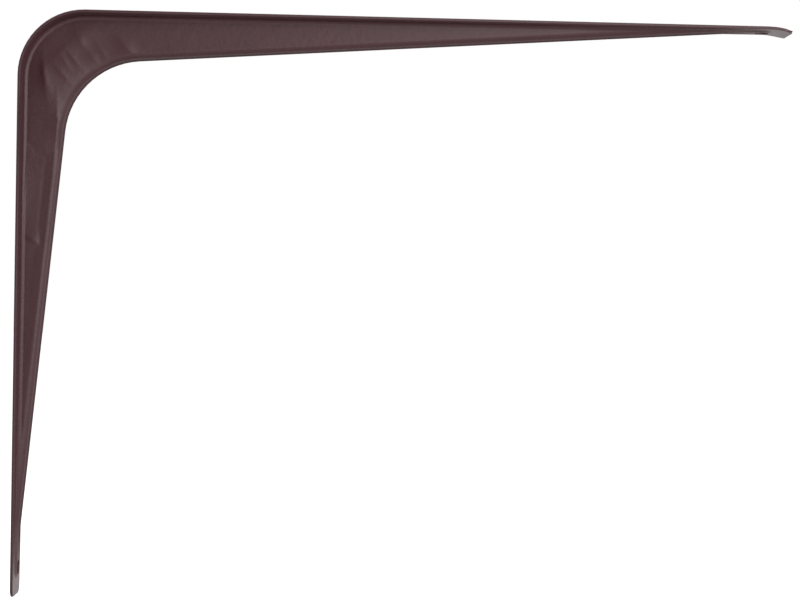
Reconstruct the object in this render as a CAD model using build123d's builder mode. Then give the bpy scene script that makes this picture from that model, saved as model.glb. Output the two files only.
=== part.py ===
from build123d import *
import math
import os

# Shelf bracket pressed from one piece of sheet steel
#
# A flat flange runs down the wall, turns through a round corner and runs out under the shelf.
# A hollow rib is pressed out of its middle, towards the inside of the angle. The rib is deep at
# the corner and runs down to a low pad at each tip, where a screw goes through it.
#
# Frame: the wall is the plane X = 0, the shelf lies on the plane Z = 0, and Y runs across the
# flange, with Y = 0 in the middle of the rib.

# Driving dimensions, in millimetres and degrees
shelf_arm = 200.0  # wall to the end of the shelf arm
wall_arm = 151.5  # underside of the shelf to the end of the wall arm
sheet = 0.7  # thickness of the steel
corner_radius = 17.0  # outside of the bend between the two arms

flange_width_corner = 21.2
flange_width_tip = 13.4
tip_corner_radius = 2.5  # the two corners of each tip, seen flat on

rib_width = 7.0  # across the outside of the rib
rib_depth = 13.9  # back of the flange to the crest, with both crest lines carried to the corner
crest_radius = 20.6  # inside of the angle, along the crest
nose_radius = 1.8  # long edges of the crest
root_radius = 1.3  # where the rib rises from the flange

pad_rise = 0.5  # height of the rib above the flange at the tips
pad_length = 16.0  # end of an arm to the start of its level pad
pad_blend_radius = 60.0  # between the sloping crest and the pad

curl_radius = 20.0  # the end of the shelf arm turns down a little
curl_angle = 19.0

screw_hole_diameter = 3.8
tip_hole_inset = 7.3  # end of an arm to the centre of the screw hole in its pad
corner_hole_inset = 31.0  # outer face of the other arm to the screw hole beside the rib
corner_hole_margin = 3.4  # edge of the flange to the centre of that hole

# Sizes that follow from those above
pad_depth = sheet + pad_rise
curl_start = shelf_arm - curl_radius * math.sin(math.radians(curl_angle))
behind = rib_width  # how far the forms of the rib run out behind the flange
reach = rib_depth + crest_radius  # deeper than any part of the rib

# Each arm is drawn flat on in a plane of its own, with X from the corner towards the tip
shelf_plane = Plane.XY
wall_plane = Plane((0, 0, 0), x_dir=(0, 0, -1), z_dir=(1, 0, 0))
arms = ((shelf_arm, shelf_plane), (wall_arm, wall_plane))


def flange_line(depth):
    """Draw the line that lies this deep under the back of the flange, from tip to tip."""
    wall = Line((depth, -wall_arm), (depth, -corner_radius))
    corner = JernArc(wall @ 1, wall % 1, corner_radius - depth, -90)
    shelf = Line(corner @ 1, (curl_start, -depth))
    curl = JernArc(shelf @ 1, shelf % 1, curl_radius - depth, -curl_angle)
    return wall @ 0, curl @ 1


def crest_line(inset):
    """Draw the crest of the rib from tip to tip, this far inside the metal."""
    low = pad_depth - inset
    high = rib_depth - inset
    wall_pad = wall_arm - pad_length
    shelf_pad = shelf_arm - pad_length
    wall_slope = (high - low) / wall_pad
    shelf_slope = (high - low) / shelf_pad
    corner_x = high * (1 - wall_slope) / (1 - wall_slope * shelf_slope)
    corner_z = shelf_slope * corner_x - high
    crest = FilletPolyline(
        (low, -wall_arm),
        (low, -wall_pad),
        (corner_x, corner_z),
        (shelf_pad, -low),
        (shelf_arm, -low),
        radius=[pad_blend_radius, crest_radius + inset, pad_blend_radius],
    )
    return crest @ 0, crest @ 1


def band(near_depth, far_depth):
    """Draw the side view of the layer between these two depths under the back of the flange."""
    with BuildSketch(Plane.XZ) as layer:
        with BuildLine():
            near_start, near_end = flange_line(near_depth)
            far_start, far_end = flange_line(far_depth)
            Line(near_start, far_start)
            Line(near_end, far_end)
        make_face()
    return layer.sketch


def arm_outline(arm):
    """Draw one arm of the flange flat on, along the sketch's X axis from the bend to the tip."""
    with BuildSketch() as outline:
        with BuildLine():
            Polyline(
                (corner_radius, flange_width_corner / 2),
                (arm, flange_width_tip / 2),
                (arm, -flange_width_tip / 2),
                (corner_radius, -flange_width_corner / 2),
                close=True,
            )
        make_face()
        fillet(outline.vertices().group_by(Axis.X)[-1], tip_corner_radius)
    return outline.sketch


def half_width_at(arm, place):
    """Half the width of the flange at this place along an arm."""
    taper = (place - corner_radius) / (arm - corner_radius)
    return (flange_width_corner + (flange_width_tip - flange_width_corner) * taper) / 2


def rib_form(inset):
    """Build the solid form of the rib this far inside its skin, running out behind the flange."""
    half_width = rib_width / 2 - inset
    with BuildPart() as form:
        for arm, plane in arms:
            hole_place = arm - tip_hole_inset
            with BuildSketch(plane):
                with Locations((hole_place, 0)):
                    Circle(half_width)
                with Locations((-behind, 0)):
                    Rectangle(hole_place + behind, 2 * half_width, align=(Align.MIN, Align.CENTER))
            extrude(amount=reach, both=True)
        with BuildSketch(Plane.XZ):
            with BuildLine():
                back_start, back_end = flange_line(-behind)
                crest_start, crest_end = crest_line(inset)
                Line(back_start, crest_start)
                Line(back_end, crest_end)
            make_face()
        extrude(amount=rib_width, both=True, mode=Mode.INTERSECT)
        # The edges of the crest run on smoothly from the inside of the angle, so they all follow
        fillet(round_edges(form, crest_radius + inset), nose_radius - inset)
    return form.part


def round_edges(builder, radius):
    """Pick the edges of this radius that lie along the rib."""
    arcs = builder.edges().filter_by(GeomType.CIRCLE)
    return arcs.filter_by(
        lambda edge: abs(edge.radius - radius) < 0.001 and abs(edge.center().Y) < rib_width / 2 + 0.001
    )


with BuildPart() as rib:
    add(rib_form(0))
    extrude(band(-2 * behind, sheet / 2), amount=rib_width, both=True, mode=Mode.SUBTRACT)

with BuildPart() as bracket:
    # The flange: one strip round the corner, cut to a taper along both arms
    extrude(band(0, sheet), amount=flange_width_corner / 2, both=True)
    for arm, plane in arms:
        with BuildSketch(plane):
            with Locations((corner_radius, 0)):
                Rectangle(arm, 2 * flange_width_corner, align=(Align.MIN, Align.CENTER))
            add(arm_outline(arm), mode=Mode.SUBTRACT)
        extrude(amount=corner_radius, both=True, mode=Mode.SUBTRACT)

    # The rib: its outside, the curve at its root, then its hollow back with a rounded mouth
    add(rib.part)
    fillet(round_edges(bracket, corner_radius - sheet), root_radius)
    add(rib_form(sheet), mode=Mode.SUBTRACT)
    fillet(round_edges(bracket, corner_radius), root_radius + sheet)

    # The screw holes of each arm: one through the pad, and one beside the rib near the corner
    for arm, plane in arms:
        beside_rib = half_width_at(arm, corner_hole_inset) - corner_hole_margin
        with Locations(plane):
            with Locations((arm - tip_hole_inset, 0), (corner_hole_inset, beside_rib)):
                Cylinder(screw_hole_diameter / 2, 4 * pad_depth, mode=Mode.SUBTRACT)

bracket.part.label = "bracket"
os.makedirs("parts", exist_ok=True)
export_step(bracket.part, "parts/bracket.step")
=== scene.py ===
# %% [markdown]
# # A pressed steel shelf bracket
#
# The bracket is one strip of sheet steel. A press folds it round the corner and pushes a hollow
# rib out of its middle, and the rib makes the thin strip stiff enough to carry a shelf. After that
# it is powder coated in a dark brown. The CAD model gives its exact shape. The steps below add
# what the tools and the oven leave on a real one: soft edges, small creases where the steel was
# crowded together at the corner, and a skin of baked powder.

# %% Load the model
import math

import bmesh
import bpy
from mathutils import Matrix, Vector


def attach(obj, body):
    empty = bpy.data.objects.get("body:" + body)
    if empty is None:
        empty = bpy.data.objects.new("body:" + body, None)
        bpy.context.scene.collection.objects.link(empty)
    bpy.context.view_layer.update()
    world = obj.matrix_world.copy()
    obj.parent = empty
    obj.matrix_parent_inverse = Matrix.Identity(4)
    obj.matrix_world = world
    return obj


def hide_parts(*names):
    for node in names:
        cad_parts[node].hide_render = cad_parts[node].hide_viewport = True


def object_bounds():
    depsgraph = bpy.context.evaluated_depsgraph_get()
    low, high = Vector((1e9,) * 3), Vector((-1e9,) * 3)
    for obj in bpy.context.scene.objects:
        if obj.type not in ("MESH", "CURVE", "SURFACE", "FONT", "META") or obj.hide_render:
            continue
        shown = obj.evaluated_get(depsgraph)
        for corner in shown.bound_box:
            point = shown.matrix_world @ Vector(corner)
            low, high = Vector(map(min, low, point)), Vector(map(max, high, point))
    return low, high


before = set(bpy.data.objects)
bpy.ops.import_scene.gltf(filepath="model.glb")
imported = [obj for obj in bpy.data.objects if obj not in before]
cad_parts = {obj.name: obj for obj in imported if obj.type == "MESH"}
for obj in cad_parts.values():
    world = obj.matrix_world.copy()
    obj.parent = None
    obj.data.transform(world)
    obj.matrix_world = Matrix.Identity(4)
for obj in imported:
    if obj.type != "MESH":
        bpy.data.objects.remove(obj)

# A new Blender file may start with a cube, a camera and a light of its own
for name in ("Cube", "Camera", "Light"):
    if name in bpy.data.objects:
        bpy.data.objects.remove(bpy.data.objects[name])
cad_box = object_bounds()
MM = 0.001
print("CAD box in mm:", [[round(v / MM, 2) for v in corner] for corner in cad_box])

# %% [markdown]
# ## The camera
#
# The picture is a side view, so the side of the rib faces the lens and the flange is seen almost
# edge on. The view isn't quite square: the camera stands a little to the left of the middle and is
# turned and rolled by about a degree. These values come from fitting the outline of the CAD model
# to the outline in the photograph.

# %% Place the camera
camera_data = bpy.data.cameras.new("camera")
camera_data.sensor_width = 36.0
camera_data.lens = 105.7
camera_data.clip_start = 0.01
camera_data.clip_end = 50.0
camera = bpy.data.objects.new("camera", camera_data)
bpy.context.collection.objects.link(camera)
bpy.context.scene.camera = camera

CAMERA_PLACE = Vector((83.74, -613.78, -72.53)) * MM
YAW, PITCH, ROLL = 1.45, 0.09, 1.10
upright = Matrix.Rotation(math.radians(90), 3, "X")
turned = Matrix.Rotation(-math.radians(YAW), 3, "Z")
tipped = Matrix.Rotation(-math.radians(PITCH), 3, "X")
rolled = Matrix.Rotation(-math.radians(ROLL), 3, "Y")
camera.location = CAMERA_PLACE
camera.rotation_euler = (turned @ tipped @ rolled @ upright).to_euler()
print("camera turned to", [round(math.degrees(a), 2) for a in camera.rotation_euler])

# %% [markdown]
# ## One skin from the CAD mesh
#
# A CAD mesh arrives as loose triangles that only look joined. Bevels and creases need real
# neighbours, so a copy is merged into one closed skin. Remodelling the bracket by hand would also
# work, but the copy already has every size right. The CAD object itself stays as it was.

# %% Copy and merge the mesh
MERGE_DISTANCE = 0.001 * MM
cad_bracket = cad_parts["bracket"]
skin = bmesh.new()
skin.from_mesh(cad_bracket.data)
bmesh.ops.remove_doubles(skin, verts=skin.verts, dist=MERGE_DISTANCE)
open_edges = sum(not edge.is_manifold for edge in skin.edges)
print("skin:", len(skin.verts), "points,", len(skin.faces), "faces,", open_edges, "open edges")

# %% [markdown]
# ## A grid on the sides of the rib
#
# The sides of the rib are flat in the CAD model, and a flat face has no points in its middle to
# move. Each side becomes one face, and planes then slice it into a grid, fine at the corner and
# coarser along the arms. Down the wall arm some of the planes cut the whole bracket, because the
# round edge of its crest changes there too. Subdividing the long CAD triangles would give thin
# splinters, which shade badly.

# %% Slice the sides of the rib into a grid
SHEET = 0.7
RIB_HALF = 3.5
FINE_CELL, COARSE_CELL = 0.4, 1.5
FINE_SHELF, FINE_WALL, GRID_END = 34.0, 66.0, 108.0
# Points this close to a cut count as lying on it
CUT_TOLERANCE = 0.005 * MM


def cuts(fine_length):
    """The places of the cuts along an arm, close together over this length and wider after it."""
    fine = [FINE_CELL * step for step in range(1, int(fine_length / FINE_CELL))]
    coarse_count = int((GRID_END - fine_length) / COARSE_CELL)
    return fine + [fine_length + COARSE_CELL * step for step in range(coarse_count)]


def slice_by(pieces, point_mm, direction):
    """Cut these pieces of the skin by a plane, and return what they have become."""
    point = Vector(point_mm) * MM
    return bmesh.ops.bisect_plane(
        skin, geom=list(pieces), plane_co=point, plane_no=direction, dist=CUT_TOLERANCE
    )["geom"]


# Some of the cuts down the wall arm go right across the bracket
ACROSS_FROM, ACROSS_EVERY = 26.0, 4
shelf_cuts, wall_cuts = cuts(FINE_SHELF), cuts(FINE_WALL)
for cut in [cut for cut in wall_cuts if cut > ACROSS_FROM][::ACROSS_EVERY]:
    slice_by([*skin.verts, *skin.edges, *skin.faces], (0, 0, -cut), (0, 0, 1))

# A face belongs to a side if it points this straight across the bracket and lies this near
SIDEWAYS, NEARNESS = 0.999, 0.05 * MM


def slice_side(level):
    """Join the flat faces of the rib at this place across the bracket, and cut them into a grid."""
    sides = []
    for face in skin.faces:
        off_level = abs(face.calc_center_median().y - level * MM)
        if abs(face.normal.y) > SIDEWAYS and off_level < NEARNESS:
            sides.append(face)
    joined = bmesh.ops.dissolve_faces(skin, faces=sides, use_verts=False)["region"]
    pieces = set(joined)
    for face in joined:
        pieces.update(face.edges)
        pieces.update(face.verts)
    for cut in shelf_cuts:
        pieces = slice_by(pieces, (cut, 0, 0), (1, 0, 0))
    for cut in wall_cuts:
        pieces = slice_by(pieces, (0, 0, -cut), (0, 0, 1))
    return sum(isinstance(piece, bmesh.types.BMFace) for piece in pieces)


side_levels = [side * level for side in (-1, 1) for level in (RIB_HALF, RIB_HALF - SHEET)]
print("grid faces on each side:", [slice_side(level) for level in side_levels])

# %% [markdown]
# ## Flat faces and curves
#
# Later, light has to run smoothly over the curves and stay even on the flats. That depends on
# knowing which faces are flat, and they are easiest to tell now, while every flat face still
# points exactly along its own direction. The mark is a number that is kept on each face.

# %% Mark the flat faces
# The crest falls from its depth at the corner to that of the pads, which start before each tip
SHELF_ARM, WALL_ARM = 200.0, 151.5
CORNER_DEPTH, PAD_DEPTH, PAD_LENGTH = 13.9, 1.2, 16.0
CREST_FALL_SHELF = math.atan2(CORNER_DEPTH - PAD_DEPTH, SHELF_ARM - PAD_LENGTH)
CREST_FALL_WALL = math.atan2(CORNER_DEPTH - PAD_DEPTH, WALL_ARM - PAD_LENGTH)
flat_directions = [
    Vector((1, 0, 0)),
    Vector((0, 1, 0)),
    Vector((0, 0, 1)),
    Vector((math.sin(CREST_FALL_SHELF), 0, -math.cos(CREST_FALL_SHELF))),
    Vector((math.cos(CREST_FALL_WALL), 0, -math.sin(CREST_FALL_WALL))),
]
# The cosine of the largest angle between a flat face and its direction
ALIGNED = 0.99999
skin.normal_update()
flat = skin.faces.layers.int.new("flat")
for face in skin.faces:
    face[flat] = int(any(abs(face.normal.dot(way)) > ALIGNED for way in flat_directions))
print("flat faces:", sum(face[flat] for face in skin.faces), "of", len(skin.faces))

# %% [markdown]
# ## Creases from the press
#
# Round the inside of the corner the steel has less room than it needs, so the sides of the rib
# swell a little and fold into pleats. The pleats run from the outer bend towards the inside of the
# angle, and a very shallow groove follows the crest down the wall arm. They could be painted as
# bumps, but they catch the light from every side, so the grid's points are really moved. Each pleat
# is a low ridge, or a groove if its height is negative. It falls away quickly from a sharp line,
# and its two flanks have widths of their own, because a fold is steeper on one side. The edge of
# the crest is also rounder at the inside of the angle, where the press stretched it most, and down
# much of the wall arm.

# %% Press the creases into the sides of the rib
# Each row: middle of the ridge in mm, its direction in degrees, half its length, the widths of its
# left and right flanks, and its height in mm
CREASES = [
    (6.4, -18.4, -83, 6.0, 2.8, 11.0, 0.95),
    (5.9, -15.6, -82, 2.8, 0.8, 1.5, 0.22),
    (7.3, -20.0, -70, 2.4, 0.8, 1.2, 0.10),
    (10.1, -15.4, -48, 2.8, 0.6, 1.2, 0.26),
    (11.3, -12.8, -57, 2.4, 0.8, 1.0, 0.20),
    (13.3, -11.9, -51, 2.8, 0.5, 1.2, 0.26),
    (10.0, -10.6, -135, 4.0, 2.2, 5.0, 0.30),
    (18.3, -11.2, -54, 2.4, 1.2, 1.1, 0.18),
    (15.0, -7.0, -62, 2.8, 2.8, 3.5, 0.42),
    (20.6, -9.7, -54, 2.8, 0.8, 1.1, 0.16),
    (27.4, -8.9, -44, 3.8, 2.0, 1.1, 0.46),
    (9.7, -29.0, -88, 6.0, 4.0, 1.2, 0.60),
    (4.3, -35.7, -38, 3.0, 0.5, 0.8, -0.18),
    (3.9, -59.3, -36, 2.8, 0.5, 2.4, 0.24),
    (6.2, -52.0, -95, 18.0, 0.6, 0.6, -0.09),
    (1.6, -47.0, -92, 11.0, 1.2, 3.2, 0.32),
]
# The crest turns the inside of the angle on this circle, with the middle of the turn at 45 degrees
TURN_X, TURN_Z, TURN_RADIUS = 31.6, -32.4, 20.6
HALF_TURN = math.radians(45)
# The rounder edge starts this far from the crest, and the side falls back this far at the crest
ROLL_DEPTH, ROLL_DROP = 4.5, 0.6
# The places down the wall arm where it begins, is full, starts to fade and ends
ROLL_BEGIN, ROLL_FULL, ROLL_FADE, ROLL_END = -28.0, -42.0, -52.0, -112.0
# The places across the bracket, near the crest and at the root, where the creases have died out
CREST_EDGE, ROOT_END = 1.6, 4.8


def crease_height(x, z):
    """How far a side of the rib stands out at this place, in mm."""
    height = 0.0
    for ridge_x, ridge_z, turn, half_length, left_width, right_width, rise in CREASES:
        along_x, along_z = math.cos(math.radians(turn)), math.sin(math.radians(turn))
        along = (x - ridge_x) * along_x + (z - ridge_z) * along_z
        across = (z - ridge_z) * along_x - (x - ridge_x) * along_z
        width = right_width if across > 0 else left_width
        height += rise * math.exp(-((along / half_length) ** 2) - abs(across) / width)
    return height


def edge_drop(from_crest):
    """How far the side falls back at this distance from the crest, in mm."""
    return ROLL_DROP * (1 - min(ROLL_DEPTH, max(0.0, from_crest)) / ROLL_DEPTH) ** 2


def corner_roll(x, z):
    """How far the side falls back towards the crest at the inside of the angle, in mm."""
    off_middle = math.atan2(z - TURN_Z, TURN_X - x) - HALF_TURN
    if abs(off_middle) > HALF_TURN:
        return 0.0
    return edge_drop(math.hypot(x - TURN_X, z - TURN_Z) - TURN_RADIUS) * math.cos(2 * off_middle) ** 2


def wall_roll(x, z):
    """How far the side falls back towards the crest down the wall arm, in mm."""
    begun = (ROLL_BEGIN - z) / (ROLL_BEGIN - ROLL_FULL)
    left = (z - ROLL_END) / (ROLL_FADE - ROLL_END)
    # The straight crest touches the circle of the turn, so it lies one radius from the middle
    across = (TURN_X - x) * math.cos(CREST_FALL_WALL) + (z - TURN_Z) * math.sin(CREST_FALL_WALL)
    return edge_drop(across - TURN_RADIUS) * max(0.0, min(1.0, begun, left))


def wall_share(y):
    """How much a point takes part: fully in the side walls, and less round the nose and the root."""
    if y > RIB_HALF:
        return max(0.0, (ROOT_END - y) / (ROOT_END - RIB_HALF))
    inner_side = RIB_HALF - SHEET
    return min(1.0, max(0.0, (y - CREST_EDGE) / (inner_side - CREST_EDGE)))


highest = 0.0
for vert in skin.verts:
    x, y, z = vert.co / MM
    fall_back = corner_roll(x, z) + wall_roll(x, z)
    if y > 0:
        # The hidden side wrinkled by itself, so its marks lie the other way round the corner
        x, z = -z, -x
    move = wall_share(abs(y)) * (crease_height(x, z) - fall_back)
    vert.co.y += math.copysign(move, y) * MM
    highest = max(highest, abs(move))
print("highest crease:", round(highest, 3), "mm")

# %% [markdown]
# ## Soft edges
#
# The cut edges of the steel were deburred, and the powder flowed over them in the oven, so no edge
# is a knife edge. A narrow bevel along every sharp edge gives the thin line of light that a real
# coated edge has.

# %% Round the cut edges
EDGE_RADIUS = 0.16 * MM
SHARP_ANGLE = math.radians(50)
sharp_edges = [edge for edge in skin.edges if edge.calc_face_angle(0) > SHARP_ANGLE]
rounded = bmesh.ops.bevel(
    skin,
    geom=sharp_edges,
    affect="EDGES",
    offset=EDGE_RADIUS,
    offset_type="OFFSET",
    segments=3,
    profile=0.5,
    material=-1,
    clamp_overlap=False,
)
for face in rounded["faces"]:
    face[flat] = 0
print("rounded", len(sharp_edges), "edges with", len(rounded["faces"]), "faces")

# %% [markdown]
# ## Smooth light over the curves
#
# Shading runs between the directions stored at the points. Where a curve meets a flat face, the
# flat face decides, or its light would bend towards the curve. Blender's own average can't know
# that, so each point's direction is set here from the marks made before.

# %% Set the directions of the points
skin.normal_update()
point_directions = []
for vert in skin.verts:
    deciding = [face for face in vert.link_faces if face[flat]] or list(vert.link_faces)
    direction = Vector((0, 0, 0))
    for face in deciding:
        direction += face.normal * math.sqrt(face.calc_area())
    point_directions.append(direction.normalized())

bracket_mesh = bpy.data.meshes.new("bracket_skin")
skin.to_mesh(bracket_mesh)
skin.free()
bracket_mesh.shade_smooth()
bracket_mesh.normals_split_custom_set_from_vertices(point_directions)
bracket = bpy.data.objects.new("bracket_skin", bracket_mesh)
bpy.context.collection.objects.link(bracket)
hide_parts("bracket")
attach(bracket, "root")
print("finished skin:", len(bracket_mesh.vertices), "points,", len(bracket_mesh.polygons), "faces")

# %% [markdown]
# ## Powder coat
#
# Polyester powder is sprayed on dry and baked. It comes out as a satin skin with a faint orange
# peel, a little darker and lighter from place to place, with a few specks of dust baked in. The
# colour is a dark, slightly red brown. A plain colour with one roughness would look like plastic,
# so the peel, the drift of the colour and the specks are separate patterns, each at its real size.

# %% Make the tools for mixing finishes
def linear(hex_colour):
    """An sRGB hex colour as linear red, green, blue and alpha."""
    channels = [int(hex_colour[i:i + 2], 16) / 255 for i in (1, 3, 5)]
    return [c / 12.92 if c <= 0.04045 else ((c + 0.055) / 1.055) ** 2.4 for c in channels] + [1.0]


def add_node(tree, kind, inputs, **settings):
    """Add a node, set it up, and link or set its inputs."""
    made = tree.nodes.new("ShaderNode" + kind)
    for setting, value in settings.items():
        setattr(made, setting, value)
    for socket, value in inputs.items():
        if isinstance(value, bpy.types.NodeSocket):
            tree.links.new(value, made.inputs[socket])
        else:
            made.inputs[socket].default_value = value
    return made


def calculate(tree, operation, *values):
    """The result of this operation on the values."""
    return add_node(tree, "Math", dict(enumerate(values)), operation=operation).outputs["Value"]


def distance(tree, place, point):
    """How far each place on a piece is from a point."""
    return add_node(tree, "VectorMath", {0: place, 1: point}, operation="DISTANCE").outputs["Value"]


def ramp(tree, value, begin, end, low, high):
    """Run from low to high while the value runs from begin to end."""
    inputs = {"Value": value, "From Min": begin, "From Max": end, "To Min": low, "To Max": high}
    return add_node(tree, "MapRange", inputs).outputs["Result"]


def blend(tree, share, colour, other_colour):
    """Mix a colour with a share of another one."""
    inputs = {"Fac": share, "Color1": colour, "Color2": other_colour}
    return add_node(tree, "MixRGB", inputs).outputs["Color"]


white = linear("#FFFFFF")
print("white is", white)

# %% [markdown]
# The patterns lie in the coat at their sizes in millimetres, so they stay the same from every side.
# The peel is only a few hundredths of a millimetre deep, so a bump in the coat is enough for it.

# %% Mix the powder coat
# Satin polyester powder coat: a soft, wide highlight, and a peel that only just shows
coat = bpy.data.materials.new("satin_powder_coat")
coat.use_nodes = True
tree = coat.node_tree
shader = tree.nodes["Principled BSDF"]
place = add_node(tree, "TexCoord", {}).outputs["Object"]


def per_metre(size_mm):
    """The scale of a pattern whose marks are this far apart."""
    return 1 / (size_mm * MM)


def noise(size_mm, detail):
    """A cloudy pattern of this size, with this many finer layers."""
    inputs = {"Vector": place, "Scale": per_metre(size_mm), "Detail": detail}
    return add_node(tree, "TexNoise", inputs).outputs["Fac"]


DRIFT_SIZE, MOTTLE_SIZE, PEEL_SIZE = 14, 1.1, 1.5
drift = noise(DRIFT_SIZE, detail=2.0)
mottle = noise(MOTTLE_SIZE, detail=3.0)
peel = noise(PEEL_SIZE, detail=1.0)

DARK_BROWN, LIGHT_BROWN, DUST_BROWN = linear("#391E22"), linear("#4C2C30"), linear("#6A4F52")
MOTTLE_SHARE = 0.5
drift_part = calculate(tree, "MULTIPLY", drift, 1 - MOTTLE_SHARE)
tone = calculate(tree, "MULTIPLY_ADD", mottle, MOTTLE_SHARE, drift_part)
brown = blend(tree, tone, DARK_BROWN, LIGHT_BROWN)

DUST_SPACING, SPECK_RADIUS = 9, 0.16
dust = add_node(tree, "TexVoronoi", {"Vector": place, "Scale": per_metre(DUST_SPACING)})
speck = calculate(tree, "LESS_THAN", dust.outputs["Distance"], SPECK_RADIUS / DUST_SPACING)
colour = blend(tree, speck, brown, DUST_BROWN)

# A flat glance meets the tiny bumps of the powder side on, so the skin looks matt from there
ROUGHNESS, ROUGHNESS_FLAT_ON, MOTTLE_ROUGHNESS = 0.35, 0.97, 0.06
GLANCE_BEGIN, GLANCE_END = 0.5, 0.85
# The tips are glossier. Thin ends heat up first in the oven, so the powder may flow out better there
ROUGHNESS_TIP = 0.40
TIP_NEAR, TIP_FAR = 6 * MM, 20 * MM
SHELF_TIP, WALL_TIP = Vector((199, 0, -2)) * MM, Vector((1, 0, -151)) * MM
from_tip = calculate(tree, "MINIMUM", distance(tree, place, SHELF_TIP), distance(tree, place, WALL_TIP))
flat_on = ramp(tree, from_tip, TIP_NEAR, TIP_FAR, ROUGHNESS_TIP, ROUGHNESS_FLAT_ON)
glance = add_node(tree, "LayerWeight", {"Blend": 0.5}).outputs["Facing"]
matt = ramp(tree, glance, GLANCE_BEGIN, GLANCE_END, ROUGHNESS, flat_on)
gloss = calculate(tree, "MULTIPLY_ADD", mottle, MOTTLE_ROUGHNESS, matt)

PEEL_HEIGHT = 0.05 * MM
relief = add_node(tree, "Bump", {"Height": peel, "Distance": PEEL_HEIGHT, "Strength": 1.0})
tree.links.new(colour, shader.inputs["Base Color"])
tree.links.new(gloss, shader.inputs["Roughness"])
tree.links.new(relief.outputs["Normal"], shader.inputs["Normal"])
shader.inputs["IOR"].default_value = 1.5
shader.inputs["Specular IOR Level"].default_value = 0.3
bracket_mesh.materials.append(coat)
print("powder coat nodes:", len(tree.nodes))

# %% [markdown]
# ## The floor
#
# The bracket is shown against plain white, as a photographer does with a sheet of paper. The paper
# lies a little under the bracket and takes its shadow. For rays that come from the camera, a
# reflection or glass it also glows, weakly under the bracket and fully further out, so that it
# blends into the white behind it. A brighter lamp could whiten the paper too, but it would spoil
# the dark brown.

# %% Lay the floor
FLOOR_GAP = 35 * MM
FLOOR_REACH = 6.0
floor_height = cad_box[0][2] - FLOOR_GAP
floor_shape = bmesh.new()
bmesh.ops.create_grid(floor_shape, x_segments=1, y_segments=1, size=FLOOR_REACH)
bmesh.ops.translate(floor_shape, verts=floor_shape.verts, vec=Vector((0, 0, floor_height)))
floor_mesh = bpy.data.meshes.new("floor")
floor_shape.to_mesh(floor_mesh)
floor_shape.free()
floor = bpy.data.objects.new("floor", floor_mesh)
bpy.context.collection.objects.link(floor)


def seen_directly(tree):
    """A factor of 1 for rays that show the background: from the camera, a reflection or glass."""
    rays = add_node(tree, "LightPath", {}).outputs
    either = calculate(tree, "MAXIMUM", rays["Is Camera Ray"], rays["Is Glossy Ray"])
    return calculate(tree, "MAXIMUM", either, rays["Is Transmission Ray"])


# Matt white paper, which scatters light evenly
paper = bpy.data.materials.new("matt_white_paper")
paper.use_nodes = True
paper_tree = paper.node_tree
paper_shader = paper_tree.nodes["Principled BSDF"]
paper_shader.inputs["Base Color"].default_value = linear("#E8E8E6")
paper_shader.inputs["Roughness"].default_value = 0.9
paper_shader.inputs["Specular IOR Level"].default_value = 0.0
GLOW_BEGIN, GLOW_END = 170 * MM, 270 * MM
GLOW_NEAR, GLOW_FAR = 0.5, 1.0
middle = (cad_box[0][0] + cad_box[1][0]) / 2
floor_place = add_node(paper_tree, "TexCoord", {}).outputs["Object"]
away = distance(paper_tree, floor_place, (middle, 0, floor_height))
fade = ramp(paper_tree, away, GLOW_BEGIN, GLOW_END, GLOW_NEAR, GLOW_FAR)
glow = calculate(paper_tree, "MULTIPLY", seen_directly(paper_tree), fade)
paper_shader.inputs["Emission Color"].default_value = white
paper_tree.links.new(glow, paper_shader.inputs["Emission Strength"])
floor_mesh.materials.append(paper)
print("floor at", round(floor_height / MM, 1), "mm")

# %% [markdown]
# ## The light
#
# In the photograph the curves that face right are bright, those that face down are dark, and the
# shelf arm is lightest in its middle. So a large soft lamp stands on the right, a little above the
# bracket, and a smaller one almost in front, where the middle of the shelf arm mirrors it. A weak
# one hangs below that for the wall arm, and one behind the bracket only serves the views from the
# back. The white surroundings give the rest at a plain level.

# %% Hang the lamps and set the white surroundings
def soft_lamp(name, place_mm, aim_mm, width_mm, watts):
    """A square soft lamp at a place, turned to face a point."""
    lamp_data = bpy.data.lights.new(name, "AREA")
    lamp_data.size = width_mm * MM
    lamp_data.energy = watts
    lamp = bpy.data.objects.new(name, lamp_data)
    lamp.location = Vector(place_mm) * MM
    lamp.rotation_euler = (Vector(aim_mm) - Vector(place_mm)).to_track_quat("-Z", "Y").to_euler()
    bpy.context.collection.objects.link(lamp)


soft_lamp("right_lamp", place_mm=(630, -470, 140), aim_mm=(80, 0, -60), width_mm=400, watts=2.8)
soft_lamp("front_lamp", place_mm=(250, -600, 70), aim_mm=(110, 0, -40), width_mm=300, watts=1.0)
soft_lamp("low_lamp", place_mm=(250, -600, -90), aim_mm=(10, 0, -75), width_mm=220, watts=0.40)
soft_lamp("back_lamp", place_mm=(-450, 450, 250), aim_mm=(80, 0, -60), width_mm=400, watts=2.0)

world = bpy.data.worlds.new("white_surroundings")
bpy.context.scene.world = world
world.use_nodes = True
world_tree = world.node_tree
SURROUNDING_LIGHT, SURROUNDING_SEEN = 0.16, 1.0
level = ramp(world_tree, seen_directly(world_tree), 0.0, 1.0, SURROUNDING_LIGHT, SURROUNDING_SEEN)
background = world_tree.nodes["Background"]
background.inputs["Color"].default_value = white
world_tree.links.new(level, background.inputs["Strength"])
bpy.context.scene.view_settings.view_transform = "Standard"
